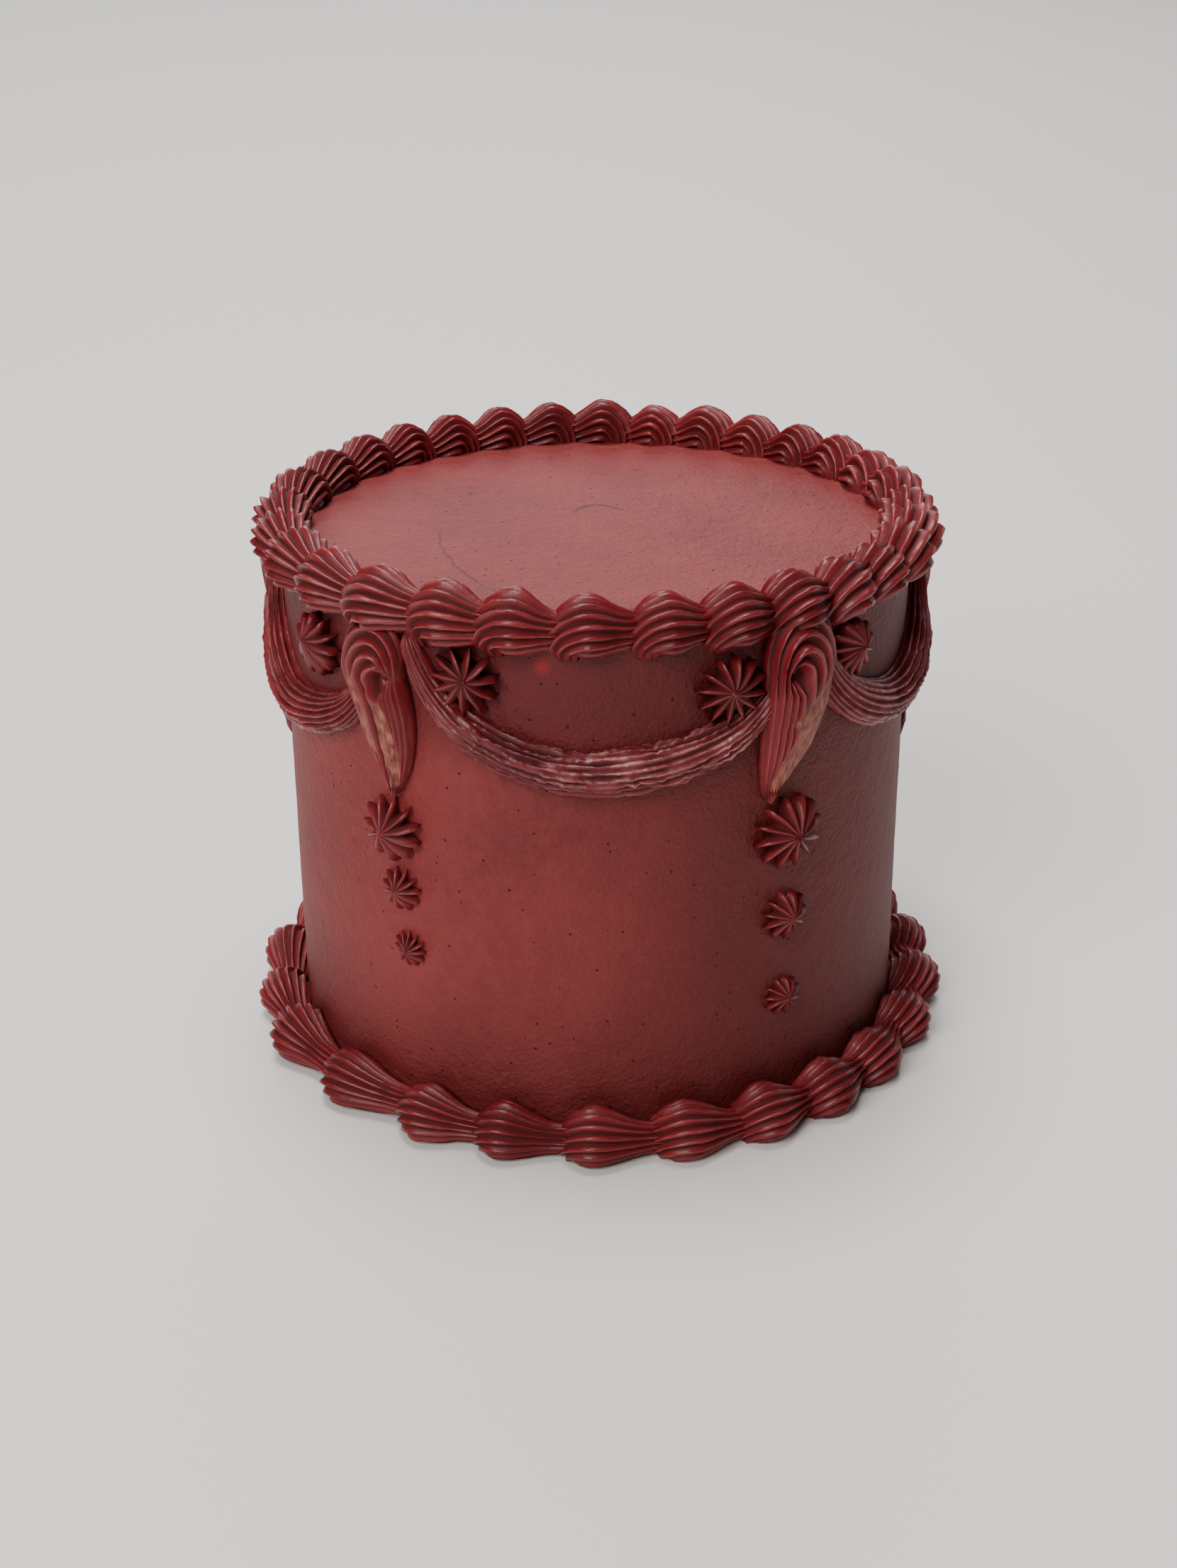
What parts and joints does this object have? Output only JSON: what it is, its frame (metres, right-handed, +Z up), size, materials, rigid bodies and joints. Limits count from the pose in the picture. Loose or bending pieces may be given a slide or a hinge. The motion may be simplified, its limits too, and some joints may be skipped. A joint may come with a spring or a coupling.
{
  "type": "lambeth cake",
  "caption": "Small round iced cake with piped shell borders at top and base, hanging swags, drops and columns of stars.",
  "frame": {"origin": "centre of the flat underside of the cake, on the surface it stands on", "axes": "+Z up along the cake's axis, -Y towards the side that the picture faces"},
  "size_m": [0.1918, 0.1927, 0.1495],
  "materials": {
    "smooth_icing": "smoothed dark red buttercream with fine grain, small pits and a broad soft sheen",
    "piped_icing": "piped dark red buttercream, soft sheen, brighter along the thin ridges"
  },
  "bodies": {
    "root": {"base_shell_border": "piped_icing", "cake_body": "smooth_icing", "column_star_back_large": "piped_icing", "column_star_back_middle": "piped_icing", "column_star_back_small": "piped_icing", "column_star_front_left_large": "piped_icing", "column_star_front_left_middle": "piped_icing", "column_star_front_left_small": "piped_icing", "column_star_front_right_large": "piped_icing", "column_star_front_right_middle": "piped_icing", "column_star_front_right_small": "piped_icing", "column_star_left_large": "piped_icing", "column_star_left_middle": "piped_icing", "column_star_left_small": "piped_icing", "column_star_right_large": "piped_icing", "column_star_right_middle": "piped_icing", "column_star_right_small": "piped_icing", "drop_back": "piped_icing", "drop_front_left": "piped_icing", "drop_front_right": "piped_icing", "drop_left": "piped_icing", "drop_right": "piped_icing", "side_star_back_left": "piped_icing", "side_star_back_right": "piped_icing", "side_star_front_left_left": "piped_icing", "side_star_front_left_right": "piped_icing", "side_star_front_right_left": "piped_icing", "side_star_front_right_right": "piped_icing", "side_star_left_left": "piped_icing", "side_star_right_right": "piped_icing", "swag_back_left": "piped_icing", "swag_back_right": "piped_icing", "swag_front": "piped_icing", "swag_left": "piped_icing", "swag_right": "piped_icing", "top_shell_border": "piped_icing"}
  },
  "joints": []
}
